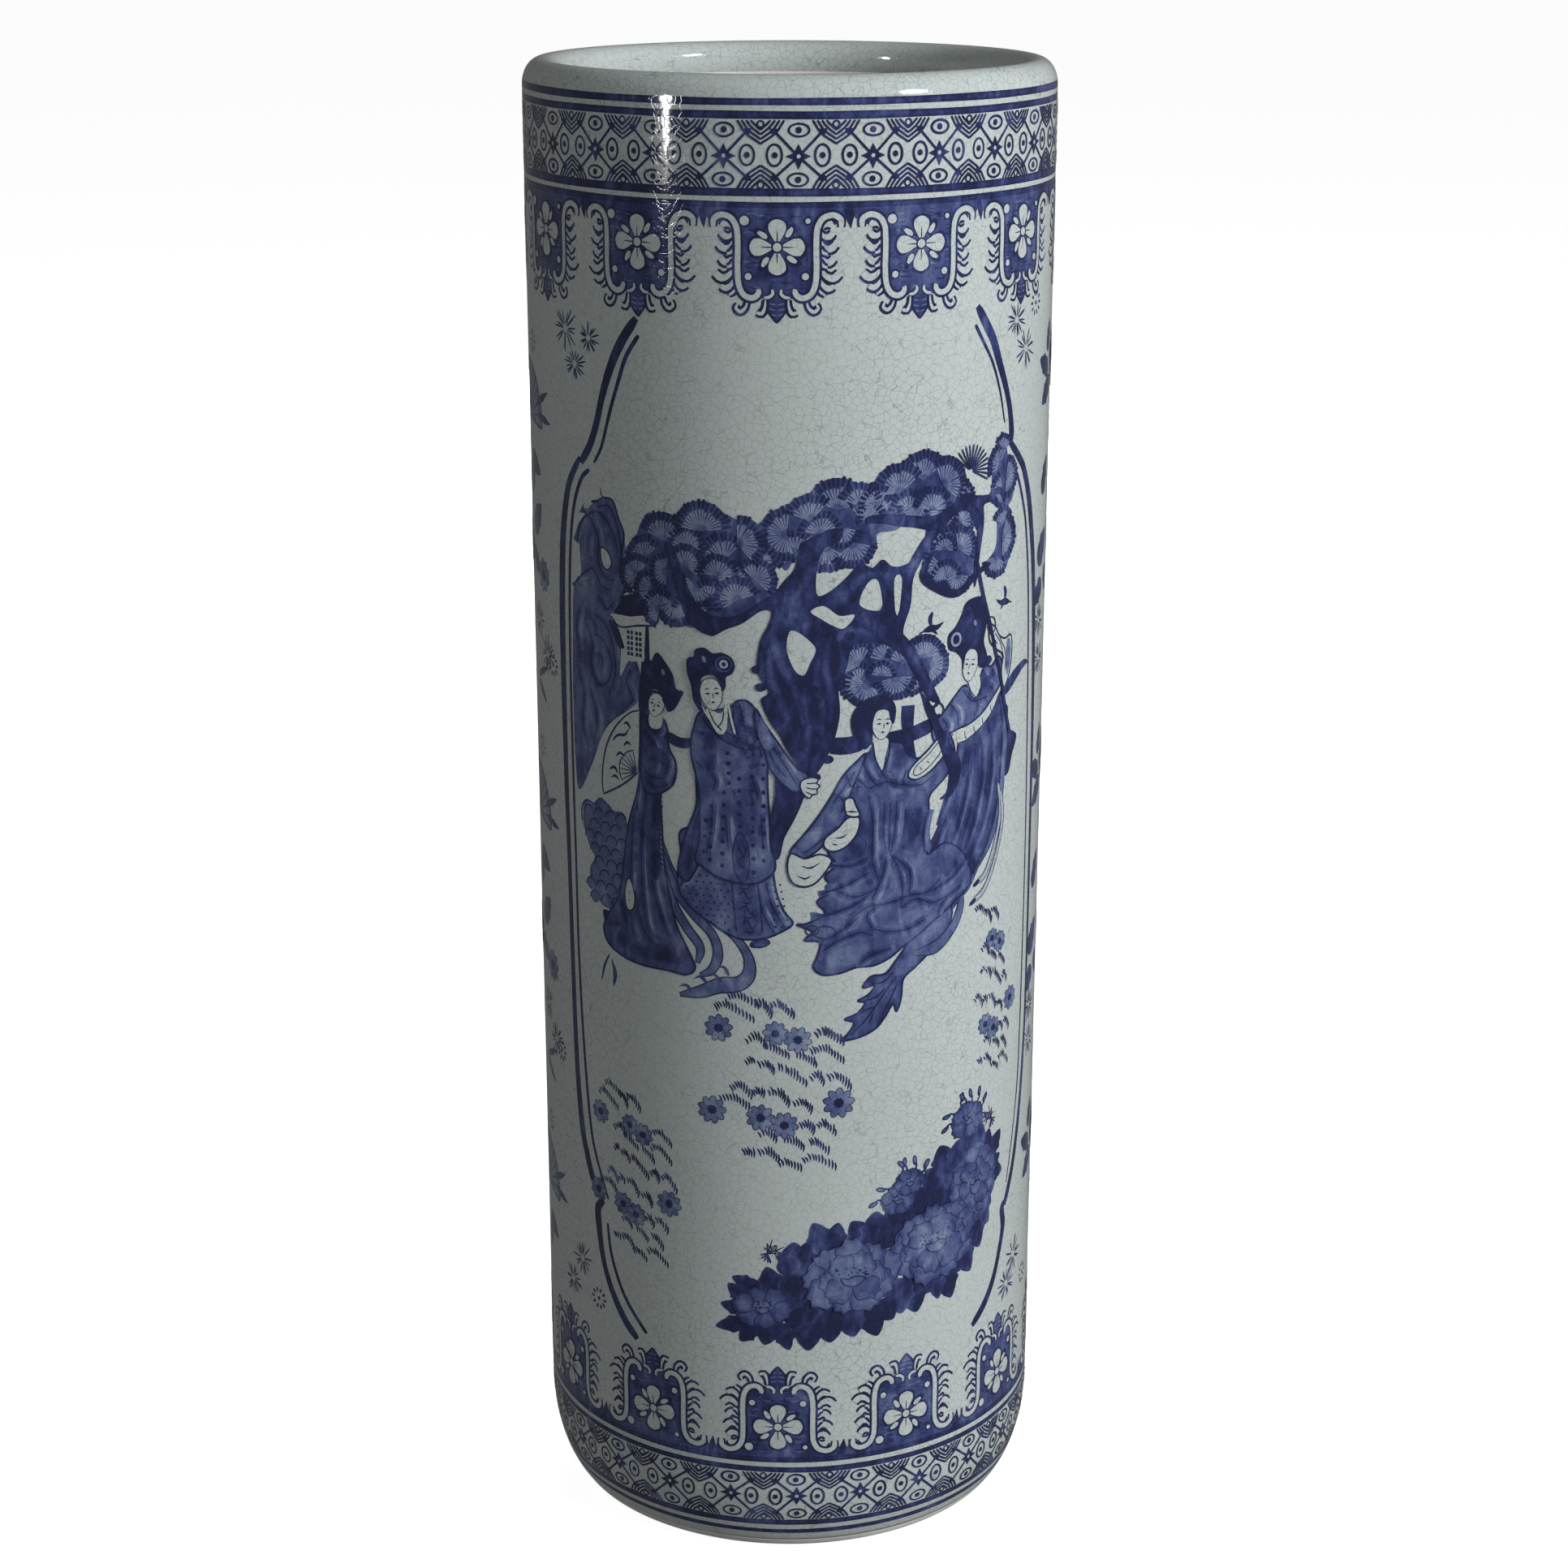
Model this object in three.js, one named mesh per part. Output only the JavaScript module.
// A tall cylindrical ceramic umbrella stand, in millimetres, +Z up, with its origin on the floor
// under the middle of the stand. A potter makes it as four rings and a slab that are luted together
// before firing, and it stands on four felt pads. Every joint is a flat horizontal plane.
import * as THREE from "three";

// Driving dimensions
const OVERALL_HEIGHT = 610; // floor to the crest of the lip
const OUTER_RADIUS = 105.5; // straight part of the wall
const WALL_THICKNESS = 9;

const LIP_RISE = 10; // height of the lip above its joint with the wall
const LIP_OUTER_RUN = 7.5; // crest of the lip inwards from the outer face
const LIP_INNER_RUN = 6.5; // crest of the lip to the narrowest part of the mouth
const LIP_INNER_DROP = 7; // crest of the lip down to where the inner roll ends
const SHOULDER_STRAIGHT = 2; // thick top of the wall, under the lip
const SHOULDER_UNDERCUT = 9; // height over which that thickness runs out into the wall

const CORNER_TOP = 40; // height where the wall starts to turn in towards the foot
const CORNER_RISE = 42; // half axes of the ellipse that the corner follows
const CORNER_RUN = 18;

const PAD_THICKNESS = 1.5;
const PAD_RADIUS = 7;
const PAD_COUNT = 4;
const FOOT_HEIGHT = 5;
const FOOT_WIDTH = 17; // of the foot ring's resting face
const FOOT_EASE_RUN = 2.5; // bevel that was sponged round the foot ring's lower edge
const FOOT_EASE_RISE = 1.5;
const BASE_THICKNESS = 10;

// Steps that the curves are cut into
const ROUND_STEPS = 64;
const PAD_STEPS = 24;
const LIP_STEPS = 7;
const UNDERCUT_STEPS = 4;
const CORNER_STEPS = 6;

// Heights of the joints, from the floor up
const FOOT_BOTTOM = PAD_THICKNESS;
const BASE_BOTTOM = FOOT_BOTTOM + FOOT_HEIGHT;
const BASE_TOP = BASE_BOTTOM + BASE_THICKNESS;
const LIP_BOTTOM = OVERALL_HEIGHT - LIP_RISE;

// Radii
const INNER_RADIUS = OUTER_RADIUS - WALL_THICKNESS;
const CREST_RADIUS = OUTER_RADIUS - LIP_OUTER_RUN;
const MOUTH_RADIUS = CREST_RADIUS - LIP_INNER_RUN;
const FOOT_OUTER_RADIUS = outerRadius(FOOT_BOTTOM + FOOT_EASE_RISE) - FOOT_EASE_RUN;
const FOOT_INNER_RADIUS = FOOT_OUTER_RADIUS - FOOT_WIDTH;
const PAD_CIRCLE_RADIUS = (FOOT_OUTER_RADIUS + FOOT_INNER_RADIUS) / 2;

const glaze = new THREE.MeshStandardMaterial({ color: 0xb4bfbe, roughness: 0.15, metalness: 0 });
const bisque = new THREE.MeshStandardMaterial({ color: 0xd9d4cc, roughness: 0.8, metalness: 0 });
const felt = new THREE.MeshStandardMaterial({ color: 0x5b4a3a, roughness: 1, metalness: 0 });

// Outer radius at a height: straight wall, then a quarter ellipse that turns in to the foot.
function outerRadius(z) {
  const turn = Math.max(0, (CORNER_TOP - z) / CORNER_RISE);
  return OUTER_RADIUS - CORNER_RUN * (1 - Math.sqrt(1 - turn * turn));
}

// Points [radius, height] on the outer face from one height up to another.
function outerFace(bottom, top, steps) {
  return steppedTo(steps, (share) => {
    const z = bottom + (top - bottom) * share;
    return [outerRadius(z), z];
  });
}

// Points of a quarter ellipse about a centre, from its side (angle 0) up to its top (a quarter turn).
function quarter(centre, run, rise, steps) {
  return steppedTo(steps, (share) => {
    const angle = (share * Math.PI) / 2;
    return [centre[0] + run * Math.cos(angle), centre[1] + rise * Math.sin(angle)];
  });
}

function steppedTo(steps, pointAt) {
  return Array.from({ length: steps + 1 }, (_, step) => pointAt(step / steps));
}

// A ring or disc turned about Z. The profile runs up the outside and down the inside.
function turned(name, profile, material) {
  const points = profile.map(([radius, z]) => new THREE.Vector2(radius, z));
  const onAxis = profile[0][0] === 0;
  if (!onAxis) points.push(points[0].clone());
  const geometry = new THREE.LatheGeometry(points, ROUND_STEPS).rotateX(Math.PI / 2);
  const mesh = new THREE.Mesh(geometry, material);
  mesh.name = name;
  return mesh;
}

// The rolled lip: a quarter ellipse up the outside and a smaller one down into the mouth.
function rimLip() {
  const outside = quarter([CREST_RADIUS, LIP_BOTTOM], LIP_OUTER_RUN, LIP_RISE, LIP_STEPS);
  const rollEnd = OVERALL_HEIGHT - LIP_INNER_DROP;
  const inside = quarter([CREST_RADIUS, rollEnd], -LIP_INNER_RUN, LIP_INNER_DROP, LIP_STEPS);
  inside.reverse().shift(); // the crest is already there
  return turned("rim_lip", [...outside, ...inside, [MOUTH_RADIUS, LIP_BOTTOM]], glaze);
}

// The wall: it stands on the base, turns out to full width, and thickens under the lip.
function wall() {
  const corner = outerFace(BASE_TOP, CORNER_TOP, CORNER_STEPS);
  const shoulder = LIP_BOTTOM - SHOULDER_STRAIGHT;
  const undercut = steppedTo(UNDERCUT_STEPS, (share) => {
    const ease = (1 - Math.cos(share * Math.PI)) / 2;
    return [
      MOUTH_RADIUS + (INNER_RADIUS - MOUTH_RADIUS) * ease,
      shoulder - SHOULDER_UNDERCUT * share,
    ];
  });
  const top = [
    [OUTER_RADIUS, LIP_BOTTOM],
    [MOUTH_RADIUS, LIP_BOTTOM],
  ];
  return turned("wall", [...corner, ...top, ...undercut, [INNER_RADIUS, BASE_TOP]], glaze);
}

// The slab that closes the bottom, level with the wall's outer face at its edge.
function baseDisc() {
  const edge = outerFace(BASE_BOTTOM, BASE_TOP, CORNER_STEPS / 2);
  return turned("base_disc", [[0, BASE_BOTTOM], ...edge, [0, BASE_TOP]], glaze);
}

// The ring under the slab, which carries the stand.
function footRing() {
  const outside = outerFace(FOOT_BOTTOM + FOOT_EASE_RISE, BASE_BOTTOM, CORNER_STEPS / 2);
  outside.unshift([FOOT_OUTER_RADIUS, FOOT_BOTTOM]);
  const inside = [
    [FOOT_INNER_RADIUS, BASE_BOTTOM],
    [FOOT_INNER_RADIUS, FOOT_BOTTOM],
  ];
  return turned("foot_ring", [...outside, ...inside], bisque);
}

// One self-adhesive pad under the foot ring.
function feltPad(index) {
  const geometry = new THREE.CylinderGeometry(PAD_RADIUS, PAD_RADIUS, PAD_THICKNESS, PAD_STEPS);
  geometry.rotateX(Math.PI / 2);
  const mesh = new THREE.Mesh(geometry, felt);
  const angle = ((index + 0.5) / PAD_COUNT) * 2 * Math.PI;
  mesh.position.set(
    PAD_CIRCLE_RADIUS * Math.cos(angle),
    PAD_CIRCLE_RADIUS * Math.sin(angle),
    PAD_THICKNESS / 2,
  );
  mesh.name = `felt_pad_${index + 1}`;
  return mesh;
}

const stand = new THREE.Group();
stand.add(rimLip(), wall(), baseDisc(), footRing());
for (let index = 0; index < PAD_COUNT; index += 1) {
  stand.add(feltPad(index));
}

export default stand;
